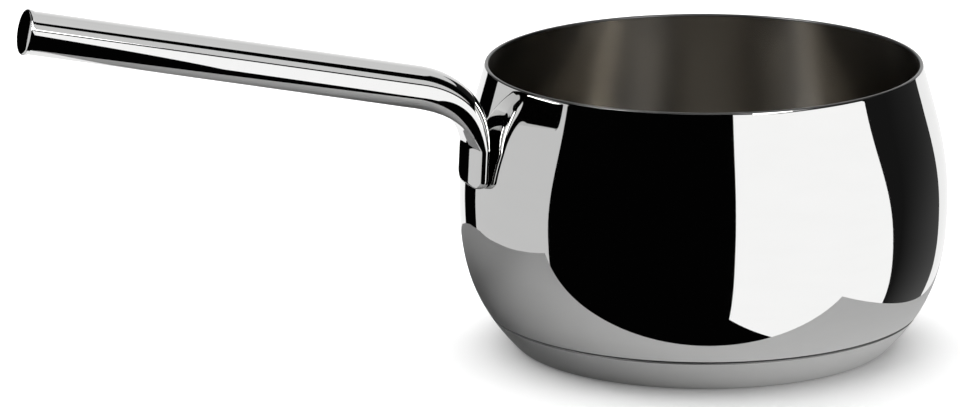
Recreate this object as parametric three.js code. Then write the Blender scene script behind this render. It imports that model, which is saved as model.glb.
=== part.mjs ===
// Saucepan: a bellied stainless steel pan with an encapsulated base and a bent tube handle.
// Millimetres, +Z up. The origin is on the pan's axis, in the plane that the base rests on.
// The handle points along -X, and the pan is the same on both sides of the XZ plane.
import * as THREE from 'three';
import { mergeVertices } from 'three/addons/utils/BufferGeometryUtils.js';

// Outside of the pan
const RIM_DIAMETER = 140;
const PAN_HEIGHT = 91.5;
const BELLY_DIAMETER = 156.6;
const BELLY_HEIGHT = 47.5;
const BASE_DIAMETER = 120.6;

// Angles from upright of the outside at the rim and at the base, in degrees
const RIM_LEAN = 15.5;
const BASE_FLARE = 45;

// How far the outside keeps its direction at the rim, on both sides of the belly and at the base
const RIM_EASE = 15.4;
const SHOULDER_EASE = 16.5;
const BOWL_EASE = 20.5;
const BASE_EASE = 19.9;

// Sheets and base: the seam is where the cap's edge meets the pan
const PAN_SHEET = 1.2;
const CAP_SHEET = 0.7;
const CORE_THICKNESS = 4.5;
const SEAM_HEIGHT = 11.5;
const SEAM_GROOVE = 0.9;
const BASE_EDGE_RADIUS = 3;
const BOND_GAP = 0.15;

// Handle: a tube that is pressed flat at one end, bent out and plugged at the other
const TUBE_DIAMETER = 13.6;
const TUBE_WALL = 1.1;
const HANDLE_STRAIGHT = 128.7;
const HANDLE_RISE = 12.54;
const BEND_CLIMB = 16.2;
const BEND_RUN = 20.2;

// Paddle: the pressed end of the tube, welded to the wall
const PADDLE_BOTTOM = 58.1;
const PADDLE_LENGTH = 13;
const PADDLE_WIDTH = 22.5;
const PADDLE_SLIT = 0.6;
const PADDLE_LEAN = 3;
const PADDLE_EDGE = 1;
const TOE_WIDTH = 8.5;
const TOE_HEIGHT = 3.6;
const WELD_GAP = 0.2;

// Plug in the free end of the tube
const PLUG_DIAMETER = 14.4;
const PLUG_FLANGE = 1.3;
const PLUG_EDGE_RADIUS = 0.5;
const PLUG_SPIGOT = 9;
const PLUG_CHAMFER = 0.8;
const PLUG_GAP = 0.15;

// Facets
const PAN_SIDES = 68;
const WALL_STEPS = 8;
const CORNER_STEPS = 6;
const EDGE_STEPS = 4;
const TUBE_SIDES = 40;
const BEND_STEPS = 14;
const SEAT_STEPS = 60;
const MERGE_DISTANCE = 1e-4;
const SEARCH_STEP = 1e-9;

// Stainless steel and aluminium, by their finish
function metal(color, roughness) {
  return new THREE.MeshStandardMaterial({ color, roughness, metalness: 1 });
}
const mirrorSteel = () => metal(0xd2d3d2, 0.06);
const satinSteel = () => metal(0xb9b9b7, 0.24);
const bareAluminium = () => metal(0xc2c4c6, 0.5);

// A curve of the profile, from points given as [radius, height]
function profileCurve(...points) {
  return new THREE.CubicBezierCurve(...points.map(([radius, height]) => new THREE.Vector2(radius, height)));
}

// A profile point moved from a curve towards the inside of the pan, square to the curve
function inset(curve, t, depth) {
  const along = curve.getTangent(t);
  return curve.getPoint(t).add(new THREE.Vector2(along.y, -along.x).multiplyScalar(depth));
}

// Profile points along part of a curve, set in by a depth
function insetPoints(curve, from, to, steps, depth) {
  const points = [];
  for (let i = 0; i <= steps; i++) {
    points.push(inset(curve, THREE.MathUtils.lerp(from, to, i / steps), depth));
  }
  return points;
}

// Where a curve that runs downwards has a height, with the curve set in by a depth
function atHeight(curve, height, depth = 0) {
  let above = 0;
  let below = 1;
  while (below - above > SEARCH_STEP) {
    const middle = (above + below) / 2;
    if (inset(curve, middle, depth).y > height) above = middle;
    else below = middle;
  }
  return below;
}

// Points of a round edge between two directions, given as angles from +radius towards +height
function arcPoints(centre, radius, from, to, steps) {
  const points = [];
  for (let i = 0; i <= steps; i++) {
    const angle = THREE.MathUtils.lerp(from, to, i / steps);
    points.push(new THREE.Vector2(Math.cos(angle), Math.sin(angle)).multiplyScalar(radius).add(centre));
  }
  return points;
}

// A solid turned about +Z from an outline that runs up its outside
function turned(outline, sides) {
  const geometry = new THREE.LatheGeometry(outline, sides).rotateX(Math.PI / 2);
  geometry.deleteAttribute('normal');
  geometry.deleteAttribute('uv');
  const solid = mergeVertices(geometry, MERGE_DISTANCE);
  const corners = solid.index.array;
  const kept = [];
  for (let i = 0; i < corners.length; i += 3) {
    const [a, b, c] = corners.slice(i, i + 3);
    if (a !== b && b !== c && c !== a) kept.push(a, b, c);
  }
  solid.setIndex(kept);
  solid.computeVertexNormals();
  return solid;
}

const radians = THREE.MathUtils.degToRad;
const rimRadius = RIM_DIAMETER / 2;
const bellyRadius = BELLY_DIAMETER / 2;
const baseRadius = BASE_DIAMETER / 2;
const rimEdge = PAN_SHEET / 2;
const rimTop = PAN_HEIGHT - rimEdge * (1 - Math.sin(radians(RIM_LEAN)));

// The outside from the rim to the belly, and from the belly to the plane of the base
const shoulder = profileCurve(
  [rimRadius, rimTop],
  [rimRadius + RIM_EASE * Math.tan(radians(RIM_LEAN)), rimTop - RIM_EASE],
  [bellyRadius, BELLY_HEIGHT + SHOULDER_EASE],
  [bellyRadius, BELLY_HEIGHT],
);
const bowl = profileCurve(
  [bellyRadius, BELLY_HEIGHT],
  [bellyRadius, BELLY_HEIGHT - BOWL_EASE],
  [baseRadius + BASE_EASE * Math.sin(radians(BASE_FLARE)), BASE_EASE * Math.cos(radians(BASE_FLARE))],
  [baseRadius, 0],
);

// Heights of the layers under the pan
const coreBottom = CAP_SHEET + BOND_GAP;
const coreTop = coreBottom + CORE_THICKNESS;
const floorUnder = coreTop + BOND_GAP;
const floorTop = floorUnder + PAN_SHEET;

// Under the seam the pan is tucked in by the cap's sheet and turns into its flat floor
const tuck = CAP_SHEET + BOND_GAP;
const seam = atHeight(bowl, SEAM_HEIGHT);
const tuckStart = inset(bowl, seam, tuck);
const seamDirection = bowl.getTangent(seam);
const tuckDrop = (tuckStart.y - floorUnder) / -seamDirection.y;
const cornerPoint = tuckStart.clone().addScaledVector(seamDirection, tuckDrop);
const floorRadius = cornerPoint.x - tuckDrop;
const corner = new THREE.QuadraticBezierCurve(
  tuckStart,
  cornerPoint,
  new THREE.Vector2(floorRadius, floorUnder),
);

function panBody() {
  const rimCentre = inset(shoulder, 0, rimEdge);
  const lean = radians(RIM_LEAN);
  const wallEnd = atHeight(bowl, SEAM_HEIGHT + tuck + PAN_SHEET);
  const innerWallEnd = inset(bowl, wallEnd, PAN_SHEET);
  const innerDirection = bowl.getTangent(wallEnd);
  const innerDrop = (innerWallEnd.y - floorTop) / -innerDirection.y;
  const innerCorner = innerWallEnd.clone().addScaledVector(innerDirection, innerDrop);
  const innerFillet = new THREE.QuadraticBezierCurve(
    innerWallEnd,
    innerCorner,
    new THREE.Vector2(floorRadius, floorTop),
  );
  const outside = [
    ...insetPoints(shoulder, 0, 1, WALL_STEPS, 0),
    ...insetPoints(bowl, 0, seam, WALL_STEPS, 0).slice(1),
  ].reverse();
  const inside = [
    ...insetPoints(shoulder, 0, 1, WALL_STEPS, PAN_SHEET),
    ...insetPoints(bowl, 0, wallEnd, WALL_STEPS, PAN_SHEET).slice(1),
    ...innerFillet.getPoints(CORNER_STEPS).slice(1),
  ];
  const outline = [
    new THREE.Vector2(0, floorUnder),
    ...corner.getPoints(CORNER_STEPS).reverse(),
    ...outside,
    ...arcPoints(rimCentre, rimEdge, lean, lean + Math.PI, EDGE_STEPS).slice(1, -1),
    ...inside,
    new THREE.Vector2(0, floorTop),
  ];
  return turned(outline, PAN_SIDES);
}

// The cap's flank ends in a round foot, and the resting face starts inside it
const flare = radians(BASE_FLARE);
const footLength = BASE_EDGE_RADIUS * Math.tan((Math.PI / 2 - flare) / 2);
const flankEnd = atHeight(bowl, footLength * Math.cos(flare));
const restRadius = baseRadius - footLength;

function baseCap() {
  const edgeTop = atHeight(bowl, SEAM_HEIGHT - SEAM_GROOVE);
  const edgeRadius = CAP_SHEET / 2;
  const edgeDirection = bowl.getTangent(edgeTop);
  const edgeAngle = Math.atan2(edgeDirection.x, -edgeDirection.y);
  const edge = arcPoints(
    inset(bowl, edgeTop, edgeRadius), edgeRadius, edgeAngle, edgeAngle + Math.PI, EDGE_STEPS,
  );
  const foot = new THREE.QuadraticBezierCurve(
    new THREE.Vector2(restRadius, 0),
    new THREE.Vector2(baseRadius, 0),
    bowl.getPoint(flankEnd),
  );
  const outline = [
    new THREE.Vector2(0, 0),
    ...foot.getPoints(EDGE_STEPS),
    ...insetPoints(bowl, flankEnd, edgeTop, CORNER_STEPS, 0).slice(1),
    ...edge.slice(1, -1),
    ...insetPoints(bowl, edgeTop, flankEnd, CORNER_STEPS, CAP_SHEET),
    new THREE.Vector2(restRadius, CAP_SHEET),
    new THREE.Vector2(0, CAP_SHEET),
  ];
  return turned(outline, PAN_SIDES);
}

function baseCore() {
  const depth = CAP_SHEET + BOND_GAP;
  const sideTop = atHeight(bowl, coreTop, depth);
  const outline = [
    new THREE.Vector2(0, coreBottom),
    new THREE.Vector2(restRadius, coreBottom),
    ...insetPoints(bowl, flankEnd, sideTop, CORNER_STEPS, depth),
    new THREE.Vector2(0, coreTop),
  ];
  return turned(outline, PAN_SIDES);
}

// The handle's line lies in the XZ plane. It is followed as [outward, up], from the paddle's toe,
// up the wall, round the bend and out along the straight tube.
function towards(angle) {
  return new THREE.Vector2(Math.cos(angle), Math.sin(angle));
}
const rise = radians(HANDLE_RISE);
const paddleDirection = towards(Math.PI / 2 + radians(PADDLE_LEAN));
const tubeDirection = towards(rise);
const toe = new THREE.Vector2(0, PADDLE_BOTTOM);
const crease = toe.clone().addScaledVector(paddleDirection, PADDLE_LENGTH);
const knee = crease.clone().addScaledVector(paddleDirection, BEND_CLIMB);
const straightStart = knee.clone().addScaledVector(tubeDirection, BEND_RUN);
const bend = new THREE.QuadraticBezierCurve(crease, knee, straightStart);
const bendLength = bend.getLength();
const bendEnd = PADDLE_LENGTH + bendLength;
const handleLength = bendEnd + HANDLE_STRAIGHT;

// The point of the handle's line at a distance from the toe, and the direction out of the line there
function onHandle(distance) {
  const share = THREE.MathUtils.clamp((distance - PADDLE_LENGTH) / bendLength, 0, 1);
  const direction = bend.getTangentAt(share);
  const point = bend.getPointAt(share);
  point.addScaledVector(direction, distance - PADDLE_LENGTH - share * bendLength);
  return { point, outward: new THREE.Vector2(direction.y, -direction.x) };
}

// Half of the tube's thickness: it is pressed flat up to the crease and as round as it was past the bend
const tubeRadius = TUBE_DIAMETER / 2;
const paddleHalf = TUBE_WALL + PADDLE_SLIT / 2;
function halfThickness(distance) {
  const pressed = THREE.MathUtils.clamp((bendEnd - distance) / bendLength, 0, 1);
  return THREE.MathUtils.lerp(tubeRadius, paddleHalf, pressed ** 2);
}

// Half of the flats of the tube's section: they run out as the tube gets round
const paddleFlat = PADDLE_WIDTH / 2 - paddleHalf;
function halfFlat(distance) {
  return paddleFlat * (tubeRadius - halfThickness(distance)) / (tubeRadius - paddleHalf);
}

// The outside radius of the pan at a height
function wallRadius(height) {
  const curve = height > BELLY_HEIGHT ? shoulder : bowl;
  return curve.getPoint(atHeight(curve, height)).x;
}

// The handle stands out as far as its back needs to clear the wall
let handleReach = 0;
for (let i = 0; i <= SEAT_STEPS; i++) {
  const distance = bendEnd * (i / SEAT_STEPS);
  const { point, outward } = onHandle(distance);
  const back = point.addScaledVector(outward, -halfThickness(distance));
  if (back.y < rimTop) handleReach = Math.max(handleReach, wallRadius(back.y) + WELD_GAP - back.x);
}

// A flattened tube has two flats and two round ends. A point of such a section is [across, outward],
// at a share of the way round from the middle of its outer flat.
function sectionPoint(share, flat, half) {
  const quarter = flat + (Math.PI / 2) * half;
  const sideways = share < 0.5 ? 1 : -1;
  const way = 4 * quarter * (share < 0.5 ? share : 1 - share);
  const turn = THREE.MathUtils.clamp((way - flat) / half, 0, Math.PI);
  const across = way < quarter ? Math.min(way, flat) : Math.min(2 * quarter - way, flat);
  return new THREE.Vector2(sideways * (across + half * Math.sin(turn)), half * Math.cos(turn));
}

// One ring of the handle's surface: its flats follow the round of the pan's wall
function handleRing(distance, flat, half) {
  const { point, outward } = onHandle(distance);
  const wrap = halfFlat(distance) / paddleFlat;
  const ring = [];
  for (let i = 0; i < TUBE_SIDES; i++) {
    const { x: across, y: out } = sectionPoint(i / TUBE_SIDES, flat, half);
    const sag = wrap * (handleReach - Math.sqrt(handleReach ** 2 - across ** 2));
    const place = point.clone().addScaledVector(outward, out - sag);
    ring.push(new THREE.Vector3(-handleReach - place.x, across, place.y));
  }
  return ring;
}

// A closed solid through rings of equally many points, with its first and last ring closed
function lofted(rings) {
  const sides = rings[0].length;
  const points = rings.flat();
  const faces = [];
  for (let i = 0; i + 1 < rings.length; i++) {
    for (let j = 0; j < sides; j++) {
      const a = i * sides + j;
      const b = i * sides + ((j + 1) % sides);
      faces.push(a, b + sides, b, a, a + sides, b + sides);
    }
  }
  const lastRing = (rings.length - 1) * sides;
  for (let j = 0; j < sides; j++) {
    const next = (j + 1) % sides;
    faces.push(j, next, points.length);
    faces.push(lastRing + next, lastRing + j, points.length + 1);
  }
  for (const end of [rings[0], rings[rings.length - 1]]) {
    const middle = end.reduce((sum, point) => sum.add(point), new THREE.Vector3());
    points.push(middle.divideScalar(sides));
  }
  const geometry = new THREE.BufferGeometry().setFromPoints(points).setIndex(faces);
  geometry.computeVertexNormals();
  return geometry;
}

// The paddle's toe has round corners and a round edge
function toeRings() {
  const rings = [];
  for (let i = 0; i <= CORNER_STEPS; i++) {
    const angle = (Math.PI / 2) * (i / CORNER_STEPS);
    const height = TOE_HEIGHT * (1 - Math.cos(angle));
    const width = THREE.MathUtils.lerp(TOE_WIDTH, PADDLE_WIDTH, Math.sin(angle));
    const edge = Math.max(1 - height / PADDLE_EDGE, 0);
    const thinning = PADDLE_EDGE * (1 - Math.sqrt(1 - edge ** 2));
    rings.push(handleRing(height, width / 2 - paddleHalf, paddleHalf - thinning));
  }
  return rings;
}

function handleTube() {
  const stations = [];
  for (let i = 0; i <= BEND_STEPS; i++) {
    stations.push(PADDLE_LENGTH + bendLength * (i / BEND_STEPS));
  }
  stations.push(handleLength);
  const outside = stations.map((at) => handleRing(at, halfFlat(at), halfThickness(at)));
  const bore = stations.map((at) => handleRing(at, halfFlat(at), halfThickness(at) - TUBE_WALL));
  return lofted([...toeRings(), ...outside, ...bore.reverse()]);
}

// The plug's flange covers the end of the tube, and its spigot fits the bore
function handleEndPlug() {
  const flangeRadius = PLUG_DIAMETER / 2;
  const spigotRadius = tubeRadius - TUBE_WALL - PLUG_GAP;
  const flangeTop = PLUG_GAP + PLUG_FLANGE;
  const roundCentre = new THREE.Vector2(flangeRadius - PLUG_EDGE_RADIUS, flangeTop - PLUG_EDGE_RADIUS);
  const outline = [
    new THREE.Vector2(0, -PLUG_SPIGOT),
    new THREE.Vector2(spigotRadius - PLUG_CHAMFER, -PLUG_SPIGOT),
    new THREE.Vector2(spigotRadius, PLUG_CHAMFER - PLUG_SPIGOT),
    new THREE.Vector2(spigotRadius, PLUG_GAP),
    new THREE.Vector2(flangeRadius, PLUG_GAP),
    ...arcPoints(roundCentre, PLUG_EDGE_RADIUS, 0, Math.PI / 2, EDGE_STEPS),
    new THREE.Vector2(0, flangeTop),
  ];
  return turned(outline, TUBE_SIDES);
}

function piece(name, geometry, material) {
  const mesh = new THREE.Mesh(geometry, material);
  mesh.name = name;
  return mesh;
}

// The plug's own frame has its axis along the tube, at the tube's free end
const plugFrame = new THREE.Group();
const freeEnd = onHandle(handleLength).point;
plugFrame.position.set(-handleReach - freeEnd.x, 0, freeEnd.y);
plugFrame.rotation.y = rise - Math.PI / 2;
plugFrame.add(piece('handle_end_plug', handleEndPlug(), mirrorSteel()));

const saucepan = new THREE.Group();
saucepan.add(
  piece('pan_body', panBody(), mirrorSteel()),
  piece('base_core', baseCore(), bareAluminium()),
  piece('base_cap', baseCap(), satinSteel()),
  piece('handle_tube', handleTube(), mirrorSteel()),
  plugFrame,
);

export default saucepan;
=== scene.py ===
from bisect import bisect_left
from math import atan2, cos, degrees, pi, radians, sin, sqrt, tan

import bmesh
import bpy
from mathutils import Matrix, Vector


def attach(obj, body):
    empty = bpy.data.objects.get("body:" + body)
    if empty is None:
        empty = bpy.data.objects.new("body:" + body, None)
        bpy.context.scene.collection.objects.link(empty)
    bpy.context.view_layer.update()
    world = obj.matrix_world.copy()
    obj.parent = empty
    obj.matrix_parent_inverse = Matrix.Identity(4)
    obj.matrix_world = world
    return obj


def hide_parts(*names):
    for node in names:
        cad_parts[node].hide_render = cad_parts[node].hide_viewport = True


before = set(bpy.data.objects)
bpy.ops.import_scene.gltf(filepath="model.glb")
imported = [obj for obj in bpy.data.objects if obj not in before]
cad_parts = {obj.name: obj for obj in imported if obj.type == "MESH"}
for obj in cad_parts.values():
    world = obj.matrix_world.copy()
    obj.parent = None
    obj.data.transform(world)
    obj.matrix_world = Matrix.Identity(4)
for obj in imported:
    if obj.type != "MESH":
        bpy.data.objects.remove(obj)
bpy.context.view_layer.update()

# Pan body: one sheet of stainless steel, deep drawn to a belly that is wider than the mouth, with a ground lip.
# The outside is polished to a mirror, and the inside is brushed round and round to a soft satin. Below the
# seam the sheet is tucked in behind the base cap and turns into the flat floor. The inside, the lip, the tuck
# and a thin band above the seam get darker steel colours than the outside, as painted shade. Lengths are in
# millimetres.
MM = 0.001
RIM_RADIUS, PAN_HEIGHT = 70.0, 91.5
BELLY_RADIUS, BELLY_HEIGHT = 78.299, 47.5
BASE_RADIUS = 60.3
PAN_SHEET, CAP_SHEET, CORE_THICKNESS, BOND_GAP = 1.2, 0.7, 4.5, 0.15
# The second seam value is the height of a thin band above the seam that gets the joint's dark colour, as
# painted shade in the groove.
SEAM_HEIGHT, SEAM_SHADE_BAND = 11.5, 0.2
RIM_EASE, SHOULDER_EASE, BOWL_EASE, BASE_EASE = 15.4, 16.5, 20.5, 19.9
RIM_LEAN, BASE_FLARE = radians(15.5), radians(45)
PAN_SIDES, OUTSIDE_STEPS, INSIDE_STEPS, CORNER_STEPS, LIP_STEPS = 288, 64, 48, 16, 12
MIRROR = {
    "pale": (0.80, 0.80, 0.795), "dark": (0.77, 0.77, 0.765),
    "smooth": 0.015, "rough": 0.03, "grain": 60.0,
}
rim_edge = PAN_SHEET / 2
rim_top = PAN_HEIGHT - rim_edge * (1 - sin(RIM_LEAN))
shoulder = [
    (RIM_RADIUS, rim_top),
    (RIM_RADIUS + RIM_EASE * tan(RIM_LEAN), rim_top - RIM_EASE),
    (BELLY_RADIUS, BELLY_HEIGHT + SHOULDER_EASE),
    (BELLY_RADIUS, BELLY_HEIGHT),
]
bowl = [
    (BELLY_RADIUS, BELLY_HEIGHT),
    (BELLY_RADIUS, BELLY_HEIGHT - BOWL_EASE),
    (BASE_RADIUS + BASE_EASE * sin(BASE_FLARE), BASE_EASE * cos(BASE_FLARE)),
    (BASE_RADIUS, 0.0),
]


def curve_point(curve, t):
    """The point of a Bezier curve of any degree, by blending neighbours until one point is left."""
    points = [Vector(p) for p in curve]
    while len(points) > 1:
        points = [a.lerp(b, t) for a, b in zip(points, points[1:])]
    return points[0]


def curve_direction(curve, t):
    degree_down = [Vector(b) - Vector(a) for a, b in zip(curve, curve[1:])]
    return curve_point(degree_down, t).normalized()


def inset(curve, t, depth):
    """The point of a curve, moved square to it by a depth."""
    along = curve_direction(curve, t)
    return curve_point(curve, t) + Vector((along.y, -along.x)) * depth


def inset_points(curve, start, end, steps, depth=0.0):
    return [inset(curve, start + (end - start) * i / steps, depth) for i in range(steps + 1)]


def at_height(curve, height):
    """How far along a falling curve a height is reached, by halving."""
    above, below = 0.0, 1.0
    while below - above > 1e-9:
        middle = (above + below) / 2
        if curve_point(curve, middle).y > height:
            above = middle
        else:
            below = middle
    return below


def arc_points(centre, radius, start, end, steps):
    angles = [start + (end - start) * i / steps for i in range(steps + 1)]
    return [Vector(centre) + Vector((cos(a), sin(a))) * radius for a in angles]


def finished_piece(name, bm):
    """The object of a closed mesh. All faces are smooth, except end faces with many corners."""
    bmesh.ops.recalc_face_normals(bm, faces=bm.faces)
    for face in bm.faces:
        face.smooth = len(face.verts) <= 4
    mesh = bpy.data.meshes.new(name)
    bm.to_mesh(mesh)
    bm.free()
    piece = bpy.data.objects.new(name, mesh)
    bpy.context.scene.collection.objects.link(piece)
    return piece


def turned_piece(name, outlines, sides):
    """A solid turned about Z. Each outline is a list of (radius, height) and has its own material slot."""
    bm = bmesh.new()
    for slot, outline in enumerate(outlines):
        known = set(bm.faces)
        points = [bm.verts.new((r * MM, 0, z * MM)) for r, z in outline]
        lines = [bm.edges.new(pair) for pair in zip(points, points[1:])]
        bmesh.ops.spin(bm, geom=points + lines, axis=(0, 0, 1), cent=(0, 0, 0),
                       angle=2 * pi, steps=sides, use_merge=True)
        for face in set(bm.faces) - known:
            face.material_index = slot
    bmesh.ops.remove_doubles(bm, verts=bm.verts, dist=1e-6)
    return finished_piece(name, bm)


def add_node(tree, kind, inputs=None, **settings):
    """A new shader node. Each of its inputs gets a plain value, or the output of another node."""
    node = tree.nodes.new("ShaderNode" + kind)
    for setting, value in settings.items():
        setattr(node, setting, value)
    for socket, value in (inputs or {}).items():
        if isinstance(value, bpy.types.NodeSocket):
            tree.links.new(value, node.inputs[socket])
        else:
            node.inputs[socket].default_value = value
    return node


def metal(name, pale, dark, smooth, rough, grain, brushed=0.0):
    """Metal with polishing or brushing lines round the Z axis, so its noise is stretched that way."""
    material = bpy.data.materials.new(name)
    material.use_nodes = True
    tree = material.node_tree
    place = add_node(tree, "TexCoord")
    apart = add_node(tree, "SeparateXYZ", {0: place.outputs["Object"]})
    level = add_node(tree, "CombineXYZ", {"X": apart.outputs["X"], "Y": apart.outputs["Y"]})
    reach = add_node(tree, "VectorMath", {0: level.outputs[0]}, operation="LENGTH")
    line = add_node(tree, "Math", {0: apart.outputs["Z"], 1: reach.outputs["Value"]}, operation="ADD")
    fine = add_node(tree, "Math", {0: line.outputs[0], 1: grain}, operation="MULTIPLY")
    unit = add_node(tree, "VectorMath", {0: level.outputs[0]}, operation="NORMALIZE")
    lift = add_node(tree, "CombineXYZ", {"Z": fine.outputs[0]})
    ring = add_node(tree, "VectorMath", {0: unit.outputs["Vector"], 1: lift.outputs[0]}, operation="ADD")
    lines = add_node(tree, "TexNoise", {"Vector": ring.outputs["Vector"], "Scale": 3.0, "Detail": 4.0})
    tint = add_node(tree, "Mix", {"Factor": lines.outputs["Fac"], "A": (*dark, 1), "B": (*pale, 1)},
                    data_type="RGBA")
    gloss = add_node(tree, "MapRange", {
        "Value": lines.outputs["Fac"], "From Min": 0.3, "From Max": 0.7, "To Min": smooth, "To Max": rough})
    shader = tree.nodes["Principled BSDF"]
    shader.inputs["Metallic"].default_value = 1.0
    tree.links.new(tint.outputs["Result"], shader.inputs["Base Color"])
    tree.links.new(gloss.outputs["Result"], shader.inputs["Roughness"])
    if brushed:
        around = add_node(tree, "Tangent", direction_type="RADIAL", axis="Z")
        tree.links.new(around.outputs["Tangent"], shader.inputs["Tangent"])
        shader.inputs["Anisotropic"].default_value = brushed
        shader.inputs["Anisotropic Rotation"].default_value = 0.25
    return material


core_bottom = CAP_SHEET + BOND_GAP
core_top = core_bottom + CORE_THICKNESS
floor_under = core_top + BOND_GAP
floor_top = floor_under + PAN_SHEET
tuck = CAP_SHEET + BOND_GAP
seam = at_height(bowl, SEAM_HEIGHT)
shade_band_end = at_height(bowl, SEAM_HEIGHT + SEAM_SHADE_BAND)
tuck_start = inset(bowl, seam, tuck)
seam_direction = curve_direction(bowl, seam)
tuck_drop = (tuck_start.y - floor_under) / -seam_direction.y
corner_point = tuck_start + seam_direction * tuck_drop
floor_radius = corner_point.x - tuck_drop
corner = [tuck_start, corner_point, (floor_radius, floor_under)]
wall_end = at_height(bowl, SEAM_HEIGHT + tuck + PAN_SHEET)
inner_start = inset(bowl, wall_end, PAN_SHEET)
inner_direction = curve_direction(bowl, wall_end)
inner_corner = inner_start + inner_direction * ((inner_start.y - floor_top) / -inner_direction.y)
inner_fillet = [inner_start, inner_corner, (floor_radius, floor_top)]
lip = arc_points(inset(shoulder, 0, rim_edge), rim_edge, RIM_LEAN, RIM_LEAN + pi, LIP_STEPS)
pan_outside = [
    *inset_points(bowl, shade_band_end, 0, OUTSIDE_STEPS),
    *inset_points(shoulder, 1, 0, OUTSIDE_STEPS)[1:],
]
pan_inside = [
    *lip[-1:],
    *inset_points(shoulder, 0, 1, INSIDE_STEPS, PAN_SHEET)[1:],
    *inset_points(bowl, 0, wall_end, INSIDE_STEPS, PAN_SHEET)[1:],
    *inset_points(inner_fillet, 0, 1, CORNER_STEPS)[1:],
    (0.0, floor_top),
]
# The tuck, and a thin band of the bowl just above the seam, take the joint's dark colour: painted shade in the
# groove between the pan and the cap.
pan_tuck = [
    (0.0, floor_under),
    *inset_points(corner, 1, 0, CORNER_STEPS),
    curve_point(bowl, seam),
    curve_point(bowl, shade_band_end),
]
pan_body = turned_piece("pan_body_polished", [pan_outside, pan_inside, lip, pan_tuck], PAN_SIDES)
pan_steels = [
    metal("polished_steel", **MIRROR),
    # Inside: the steel colour is darkened as painted shade in the pan's hollow; the brushing gives its satin.
    metal("satin_steel_inside_painted_shade", pale=(0.385, 0.365, 0.33), dark=(0.375, 0.355, 0.321),
          smooth=0.232, rough=0.242, grain=1500.0, brushed=1.0),
    # Lip: the steel colour is darkened as painted shade, to dim its highlight; its roughness is the ground
    # finish.
    metal("ground_steel_lip_painted_shade", pale=(0.16, 0.16, 0.158), dark=(0.12, 0.12, 0.119),
          smooth=0.26, rough=0.36, grain=900.0),
    # Joint: nearly black steel colour, as painted shade in the seam's groove.
    metal("joint_steel_painted_shade", pale=(0.12, 0.12, 0.12), dark=(0.07, 0.07, 0.07),
          smooth=0.45, rough=0.60, grain=900.0),
]
for material in pan_steels:
    pan_body.data.materials.append(material)
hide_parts("pan_body")
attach(pan_body, "root")

# Base core: a disc of bare aluminium that spreads the heat, closed in between the pan's floor and the cap.
# It can't be seen on the finished pan, so its solid stays as it is and only gets its metal.
aluminium = metal("bare_aluminium", pale=(0.76, 0.77, 0.78), dark=(0.66, 0.67, 0.68),
                  smooth=0.40, rough=0.55, grain=300.0)
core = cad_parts["base_core"]
core.data.materials.clear()
core.data.materials.append(aluminium)

# Base cap: a shallow pressed steel dish bonded under the core, its upper edge rolled in to the pan at a seam.
# It carries on the line of the bowl down to a round foot and the flat face that the pan rests on.
# Its finish is a finely brushed satin, softer than the mirror above, and the rolled edge is left dull, its
# colour darkened as painted shade along the seam.
SEAM_GROOVE, FOOT_EDGE = 0.9, 3.0
FOOT_STEPS, FLANK_STEPS, EDGE_STEPS = 12, 24, 10
foot_length = FOOT_EDGE * tan((pi / 2 - BASE_FLARE) / 2)
flank_end = at_height(bowl, foot_length * cos(BASE_FLARE))
rest_radius = BASE_RADIUS - foot_length
edge_top = at_height(bowl, SEAM_HEIGHT - SEAM_GROOVE)
edge_direction = curve_direction(bowl, edge_top)
edge_angle = atan2(edge_direction.x, -edge_direction.y)
edge_radius = CAP_SHEET / 2
foot = [(rest_radius, 0.0), (BASE_RADIUS, 0.0), curve_point(bowl, flank_end)]
edge_centre = inset(bowl, edge_top, edge_radius)
cap_edge = arc_points(edge_centre, edge_radius, edge_angle, edge_angle + pi, EDGE_STEPS)
cap_outside = [
    (0.0, 0.0),
    *inset_points(foot, 0, 1, FOOT_STEPS),
    *inset_points(bowl, flank_end, edge_top, FLANK_STEPS)[1:],
]
cap_inside = [
    *inset_points(bowl, edge_top, flank_end, FLANK_STEPS, CAP_SHEET),
    (rest_radius, CAP_SHEET),
    (0.0, CAP_SHEET),
]
base_cap = turned_piece("base_cap_brushed", [cap_outside, cap_edge, cap_inside], PAN_SIDES)
satin = metal("satin_steel_cap", pale=(0.74, 0.74, 0.735), dark=(0.66, 0.66, 0.655),
              smooth=0.10, rough=0.20, grain=900.0, brushed=0.5)
# Rolled edge: its darker colour is painted shade along the seam; its roughness is the dull finish.
rolled_edge_painted_shade = metal("rolled_steel_edge_painted_shade", pale=(0.34, 0.34, 0.338), dark=(0.27, 0.27, 0.268),
                    smooth=0.46, rough=0.54, grain=900.0)
for material in (satin, rolled_edge_painted_shade, satin):
    base_cap.data.materials.append(material)
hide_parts("base_cap")
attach(base_cap, "root")

# Handle tube: one round steel tube, its end pressed flat into a paddle that is spot-welded to the wall.
# From the paddle it swells round the bend to a full round and runs out straight and rising.
# The outside is polished to a mirror, and the bore is left open for the plug.
TUBE_RADIUS, TUBE_WALL = 6.8, 1.1
HANDLE_STRAIGHT, BEND_CLIMB, BEND_RUN = 128.7, 16.2, 20.2
HANDLE_RISE, PADDLE_LEAN, TUBE_SHARP = radians(12.54), radians(3), radians(50)
PADDLE_BOTTOM, PADDLE_LENGTH, PADDLE_WIDTH = 58.1, 13.0, 22.5
PADDLE_EDGE, TOE_WIDTH, TOE_HEIGHT = 1.0, 8.5, 3.6
WELD_GAP, PADDLE_SLIT, MOUTH_DEPTH = 0.2, 0.6, 12.0
TUBE_SIDES, BEND_PARTS, SEAT_STEPS = 128, 400, 60
TOE_STEPS, PADDLE_STEPS, BEND_STEPS, STRAIGHT_STEPS = 24, 10, 72, 16
paddle_half = TUBE_WALL + PADDLE_SLIT / 2
paddle_flat = PADDLE_WIDTH / 2 - paddle_half
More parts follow.
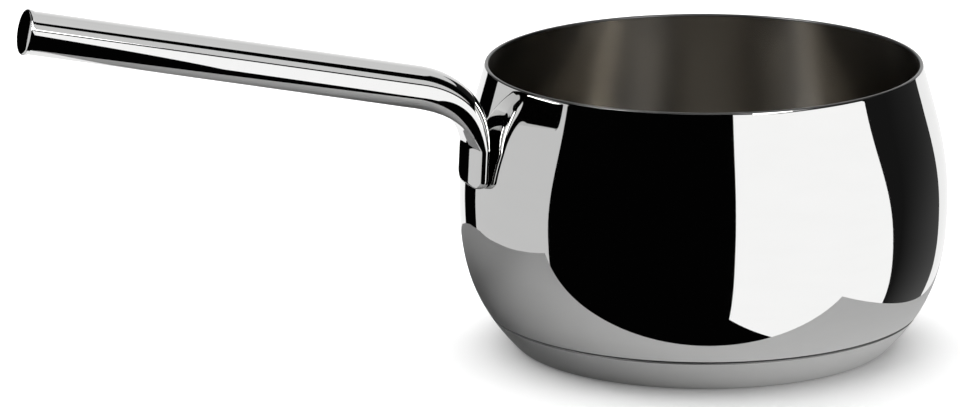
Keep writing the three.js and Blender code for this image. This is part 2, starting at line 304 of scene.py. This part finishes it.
paddle_direction = Vector((-sin(PADDLE_LEAN), cos(PADDLE_LEAN)))
tube_direction = Vector((cos(HANDLE_RISE), sin(HANDLE_RISE)))
crease = Vector((0, PADDLE_BOTTOM)) + paddle_direction * PADDLE_LENGTH
knee = crease + paddle_direction * BEND_CLIMB
bend = [crease, knee, knee + tube_direction * BEND_RUN]
bend_points = [curve_point(bend, i / BEND_PARTS) for i in range(BEND_PARTS + 1)]
bend_ways = [0.0]
for a, b in zip(bend_points, bend_points[1:]):
    bend_ways.append(bend_ways[-1] + (b - a).length)
bend_length = bend_ways[-1]
bend_end = PADDLE_LENGTH + bend_length
handle_length = bend_end + HANDLE_STRAIGHT


def on_handle(distance):
    """A point of the handle's line as (outward, up), and the way out of the line there."""
    way = min(max(distance - PADDLE_LENGTH, 0.0), bend_length)
    i = min(max(bisect_left(bend_ways, way), 1), BEND_PARTS)
    t = (i - 1 + (way - bend_ways[i - 1]) / (bend_ways[i] - bend_ways[i - 1])) / BEND_PARTS
    direction = curve_direction(bend, t)
    point = curve_point(bend, t) + direction * (distance - PADDLE_LENGTH - way)
    return point, Vector((direction.y, -direction.x))


def half_thickness(distance):
    pressed = min(max((bend_end - distance) / bend_length, 0.0), 1.0)
    return TUBE_RADIUS + (paddle_half - TUBE_RADIUS) * pressed ** 2


def half_flat(distance):
    return paddle_flat * (TUBE_RADIUS - half_thickness(distance)) / (TUBE_RADIUS - paddle_half)


def wall_radius(height):
    curve = shoulder if height > BELLY_HEIGHT else bowl
    return curve_point(curve, at_height(curve, height)).x


handle_reach = 0.0
for i in range(SEAT_STEPS + 1):
    point, outward = on_handle(bend_end * i / SEAT_STEPS)
    back = point - outward * half_thickness(bend_end * i / SEAT_STEPS)
    if back.y < rim_top:
        handle_reach = max(handle_reach, wall_radius(back.y) + WELD_GAP - back.x)


def section_point(share, flat, half):
    """A point of the section as (across, out): two flats joined by half rounds, from the middle of one."""
    quarter = flat + pi / 2 * half
    sideways = 1 if share < 0.5 else -1
    way = 4 * quarter * (share if share < 0.5 else 1 - share)
    turn = min(max((way - flat) / half, 0.0), pi)
    across = min(way, flat) if way < quarter else min(2 * quarter - way, flat)
    return sideways * (across + half * sin(turn)), half * cos(turn)


def handle_ring(bm, distance, flat, half):
    """One section of the handle. The flatter it is pressed, the more it is bent to the round of the wall."""
    point, outward = on_handle(distance)
    wrap = half_flat(distance) / paddle_flat
    ring = []
    for i in range(TUBE_SIDES):
        across, out = section_point(i / TUBE_SIDES, flat, half)
        sag = wrap * (handle_reach - sqrt(handle_reach ** 2 - across ** 2))
        place = point + outward * (out - sag)
        ring.append(bm.verts.new(((-handle_reach - place.x) * MM, across * MM, place.y * MM)))
    return ring


bm = bmesh.new()
rings = []
for i in range(TOE_STEPS + 1):
    angle = pi / 2 * i / TOE_STEPS
    height = TOE_HEIGHT * (1 - cos(angle))
    width = TOE_WIDTH + (PADDLE_WIDTH - TOE_WIDTH) * sin(angle)
    edge = max(1 - height / PADDLE_EDGE, 0.0)
    thinning = PADDLE_EDGE * (1 - sqrt(1 - edge ** 2))
    rings.append(handle_ring(bm, height, width / 2 - paddle_half, paddle_half - thinning))
stations = [TOE_HEIGHT + (PADDLE_LENGTH - TOE_HEIGHT) * i / PADDLE_STEPS for i in range(1, PADDLE_STEPS)]
stations += [PADDLE_LENGTH + bend_length * i / BEND_STEPS for i in range(BEND_STEPS + 1)]
stations += [bend_end + HANDLE_STRAIGHT * i / STRAIGHT_STEPS for i in range(1, STRAIGHT_STEPS + 1)]
for at in stations:
    rings.append(handle_ring(bm, at, half_flat(at), half_thickness(at)))
for at in (handle_length, handle_length - MOUTH_DEPTH, bend_end):
    rings.append(handle_ring(bm, at, half_flat(at), half_thickness(at) - TUBE_WALL))
for low, high in zip(rings, rings[1:]):
    for j in range(TUBE_SIDES):
        k = (j + 1) % TUBE_SIDES
        bm.faces.new((low[j], low[k], high[k], high[j]))
bm.faces.new(rings[0])
bm.faces.new(rings[-1])
handle_tube = finished_piece("handle_tube_polished", bm)
handle_tube.data.set_sharp_from_angle(angle=TUBE_SHARP)
handle_tube.data.materials.append(metal("polished_steel_handle", **MIRROR))
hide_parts("handle_tube")
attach(handle_tube, "root")

# Handle end plug: a turned steel plug pressed into the tube's free end, its spigot hidden in the bore.
# Its flange stands a little proud of the tube, with a small round on its edge and a flat polished face.
PLUG_RADIUS, PLUG_FLANGE, PLUG_EDGE, PLUG_GAP = 7.18, 1.29, 0.5, 0.15
SPIGOT_DEPTH, SPIGOT_TAPER = 9.0, 0.8
PLUG_EDGE_STEPS, PLUG_SHARP = 8, radians(35)
spigot = TUBE_RADIUS - TUBE_WALL - PLUG_GAP
flange_top = PLUG_GAP + PLUG_FLANGE
plug_outline = [
    (0.0, -SPIGOT_DEPTH),
    (spigot - SPIGOT_TAPER, -SPIGOT_DEPTH),
    (spigot, SPIGOT_TAPER - SPIGOT_DEPTH),
    (spigot, PLUG_GAP),
    (PLUG_RADIUS, PLUG_GAP),
    *arc_points((PLUG_RADIUS - PLUG_EDGE, flange_top - PLUG_EDGE), PLUG_EDGE, 0, pi / 2, PLUG_EDGE_STEPS),
    (0.0, flange_top),
]
plug = turned_piece("handle_end_plug_polished", [plug_outline], TUBE_SIDES)
free_end, _ = on_handle(handle_length)
plug.data.transform(Matrix.Translation(((-handle_reach - free_end.x) * MM, 0, free_end.y * MM))
                    @ Matrix.Rotation(HANDLE_RISE - pi / 2, 4, "Y"))
plug.data.set_sharp_from_angle(angle=PLUG_SHARP)
plug.data.materials.append(metal("polished_steel_plug", **MIRROR))
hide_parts("handle_end_plug")
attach(plug, "root")

# Camera: a long lens two metres from the pan and a little above it, turned so that the handle points left.
# The lens, the height, the roll and the shift were fitted to the photograph. Lengths are in metres.
AZIMUTH, ELEVATION, ROLL = radians(-20.0), radians(14.471), radians(-0.277)
LENS, FAR_CLIP = 233.619, 50
AIM, SHIFT_RIGHT, SHIFT_UP, DISTANCE = Vector((0, 0, 0.046)), -0.071646, -0.001216, 2.0
camera_turn = (Matrix.Rotation(AZIMUTH, 3, "Z") @ Matrix.Rotation(pi / 2 - ELEVATION, 3, "X")
               @ Matrix.Rotation(ROLL, 3, "Z"))
camera_place = AIM + camera_turn @ Vector((SHIFT_RIGHT, SHIFT_UP, DISTANCE))
camera_data = bpy.data.cameras.new("camera")
camera_data.lens = LENS
camera_data.clip_end = FAR_CLIP
camera = bpy.data.objects.new("camera", camera_data)
bpy.context.scene.collection.objects.link(camera)
camera.matrix_world = Matrix.Translation(camera_place) @ camera_turn.to_4x4()
bpy.context.scene.camera = camera

# Studio: a small pale table top before a white sweep, a softbox on the right, a grey card on the left and lit
# panels high up, in a dark room. The steel mirrors them all. The camera sees only a white floor and backdrop.
# Angles are turned from straight behind the pan to the left, in degrees.
TABLE_HEIGHT, TABLE_SHADE, TABLE_BOUNCE = -0.5, 0.8, 0.03
FLOOR_REACH, FLOOR_SHADE, FLOOR_BOUNCE = 2500, 1.0, 0.12
TABLE_OUTLINE = [
    (-94, -82), (60, -82), (197, -79), (195, 20), (190, 55), (187, 77),
    (178, 95), (164, 113), (145, 126), (120, 135), (-94, 135),
]
SOFTBOX_LEVEL = 1.15
SOFTBOX_CORNERS = [
    (-71, -375, -248), (-120, -547, 295), (-258, -373, 213), (-552, -67, 195), (-484, 139, -482),
]
CARD_START, CARD_END, CARD_TOP, CARD_SLANT, CARD_LEVEL = 44.0, 101.9, 14, 0.1, 0.66
# Each panel: azimuth from and to, elevation from and to, level. Each ramp: from and to, the values there.
PANELS = [
    (226, 241, 20, 45, 0.70),
    (204, 226, 20, 60, 4.0),
    (117, 125, 21.5, 60, 19.0),
    (160, 190, 30, 60, 0.95),
    (250, 282, 53.5, 65, 0.75),
    (282, 330, 40, 65, 0.72),
]
SWEEP_END, SWEEP_START_RAMP, SWEEP_FADE_RAMP = 25.2, (-20, -4, 328, 320.3), (10, 45, 1.0, 0.70)
DIM_START, DIM_END, DIM_LEVEL, DARK_LEVEL = 270, 330, 0.009, 0.0008
DIM_TURN_RAMP, DIM_DROP_RAMP = (285, 328, 0.0, 0.09), (-28, 0, 1.0, 0.2)
to_left = Matrix.Rotation(AZIMUTH, 3, "Z")


def staged(name, corners, material):
    """A flat sheet from corners given as (left, behind, up) of the pan for the camera, in millimetres."""
    mesh = bpy.data.meshes.new(name)
    places = [to_left @ Vector((-left * MM, behind * MM, up * MM)) for left, behind, up in corners]
    mesh.from_pydata(places, [], [range(len(corners))])
    sheet = bpy.data.objects.new(name, mesh)
    bpy.context.scene.collection.objects.link(sheet)
    mesh.materials.append(material)
    return sheet


def stage_material(name, glow_level, shade=None):
    """Cloth that glows, or with a shade matte paint. The paint's small glow stands for bounced light."""
    material = bpy.data.materials.new(name)
    material.use_nodes = True
    tree = material.node_tree
    tree.nodes.clear()
    surface = add_node(tree, "Emission", {"Strength": glow_level})
    if shade is not None:
        paint = add_node(tree, "BsdfDiffuse", {"Color": (shade, shade, shade, 1)})
        surface = add_node(tree, "AddShader", {0: paint.outputs[0], 1: surface.outputs[0]})
    add_node(tree, "OutputMaterial", {"Surface": surface.outputs[0]})
    return material


table_corners = [(left, behind, TABLE_HEIGHT) for left, behind in TABLE_OUTLINE]
table = staged("table", table_corners, stage_material("table_paint", TABLE_BOUNCE, TABLE_SHADE))
table.visible_camera = False
floor_corners = [(x * FLOOR_REACH, y * FLOOR_REACH, 0) for x, y in ((-1, -1), (-1, 1), (1, 1), (1, -1))]
ground = staged("ground", floor_corners, stage_material("white_paint", FLOOR_BOUNCE, FLOOR_SHADE))
ground.visible_diffuse = ground.visible_glossy = ground.visible_transmission = ground.visible_shadow = False
softbox = staged("softbox", SOFTBOX_CORNERS, stage_material("softbox_cloth", SOFTBOX_LEVEL))
softbox.visible_camera = softbox.visible_diffuse = False


def lamp(name, lit, turn, lift, distance, width, depth, energy):
    """A soft area light aimed at the pan. It lights one sheet of the studio, and no steel mirrors it."""
    data = bpy.data.lights.new(name, "AREA")
    data.shape = "RECTANGLE"
    data.size = width
    data.size_y = depth
    data.energy = energy
    light = bpy.data.objects.new(name, data)
    away = to_left @ Vector((-sin(turn) * cos(lift), cos(turn) * cos(lift), sin(lift)))
    light.location = away * distance
    light.rotation_euler = away.to_track_quat("Z", "Y").to_euler()
    light.visible_camera = light.visible_glossy = False
    bpy.context.scene.collection.objects.link(light)
    light.light_linking.receiver_collection = bpy.data.collections.new(name)
    light.light_linking.receiver_collection.objects.link(lit)


lamp("key", table, turn=radians(226), lift=radians(45), distance=0.9, width=0.85, depth=0.85, energy=7.0)
lamp("top", ground, turn=radians(16), lift=radians(66), distance=1.2, width=2.5, depth=3.8, energy=68.0)

world = bpy.data.worlds.new("studio")
bpy.context.scene.world = world
world.use_nodes = True
world.cycles_visibility.diffuse = False
room = world.node_tree
room.nodes.clear()


def number(operation, *values):
    return add_node(room, "Math", dict(enumerate(values)), operation=operation).outputs[0]


def between(value, low, high):
    return number("MULTIPLY", number("GREATER_THAN", value, low), number("LESS_THAN", value, high))


def ramp(value, start, end, first, last):
    """A value that goes from first to last while another goes from start to end, and stays level outside."""
    node = add_node(room, "MapRange", {
        "Value": value, "From Min": start, "From Max": end, "To Min": first, "To Max": last})
    return node.outputs["Result"]


look = add_node(room, "TexCoord")
facing = add_node(room, "VectorRotate", {"Vector": look.outputs["Generated"], "Angle": -AZIMUTH},
                  rotation_type="Z_AXIS")
way = add_node(room, "SeparateXYZ", {0: facing.outputs["Vector"]})
leftward = number("MULTIPLY", way.outputs["X"], -1)
azimuth = number("MULTIPLY", number("ARCTAN2", leftward, way.outputs["Y"]), degrees(1))
azimuth = number("MODULO", number("ADD", azimuth, 360), 360)
elevation = number("MULTIPLY", number("ARCSINE", way.outputs["Z"]), degrees(1))

sweep_right = number("GREATER_THAN", azimuth, ramp(elevation, *SWEEP_START_RAMP))
sweep_left = number("LESS_THAN", azimuth, SWEEP_END)
sweep = number("MULTIPLY", number("MAXIMUM", sweep_right, sweep_left), ramp(elevation, *SWEEP_FADE_RAMP))
card_turn = number("SUBTRACT", azimuth, number("MULTIPLY", elevation, CARD_SLANT))
card = number("MULTIPLY", between(card_turn, CARD_START, CARD_END), CARD_LEVEL)
card = number("MULTIPLY", card, between(elevation, -90, CARD_TOP))
dim = number("MULTIPLY", ramp(azimuth, *DIM_TURN_RAMP), ramp(elevation, *DIM_DROP_RAMP))
dim = number("MULTIPLY", number("ADD", dim, DIM_LEVEL), between(azimuth, DIM_START, DIM_END))
lights = [sweep, card, dim]
for start, end, low, high, level in PANELS:
    patch = number("MULTIPLY", between(azimuth, start, end), between(elevation, low, high))
    lights.append(number("MULTIPLY", patch, level))
sky = DARK_LEVEL
for light in lights:
    sky = number("MAXIMUM", light, sky)
ray = add_node(room, "LightPath")
seen = add_node(room, "Mix", {"Factor": ray.outputs["Is Camera Ray"], "A": sky, "B": 1.0}, data_type="FLOAT")
glow = add_node(room, "Background", {"Color": seen.outputs["Result"]})
add_node(room, "OutputWorld", {"Surface": glow.outputs[0]})

bpy.context.scene.view_settings.view_transform = "Standard"
